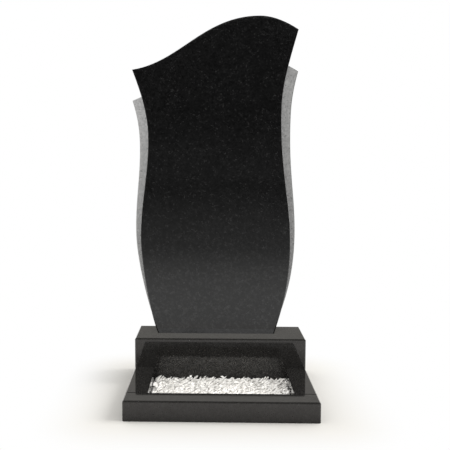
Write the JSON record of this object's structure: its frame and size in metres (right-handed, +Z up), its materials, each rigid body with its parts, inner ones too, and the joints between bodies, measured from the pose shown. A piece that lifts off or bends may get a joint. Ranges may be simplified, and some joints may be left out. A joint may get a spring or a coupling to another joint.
{
  "type": "headstone",
  "caption": "Granite headstone with a wavy dark slab in front of a wider grey slab, on a plinth with a kerbed gravel bed.",
  "frame": {"origin": "middle of the plinth's underside, on the ground", "axes": "+X to the right as seen from the front, +Y towards the back, +Z up; the slabs and the bed face -Y"},
  "size_m": [0.6176, 0.565, 1.2943],
  "materials": {
    "black_granite": "polished",
    "grey_granite": "matte",
    "white_marble_chips": "matte"
  },
  "bodies": {
    "root": {"plinth": "black_granite", "kerb_front": "black_granite", "kerb_left": "black_granite", "kerb_right": "black_granite", "gravel_bed": "white_marble_chips", "front_slab": "black_granite", "back_slab": "grey_granite"}
  },
  "joints": []
}
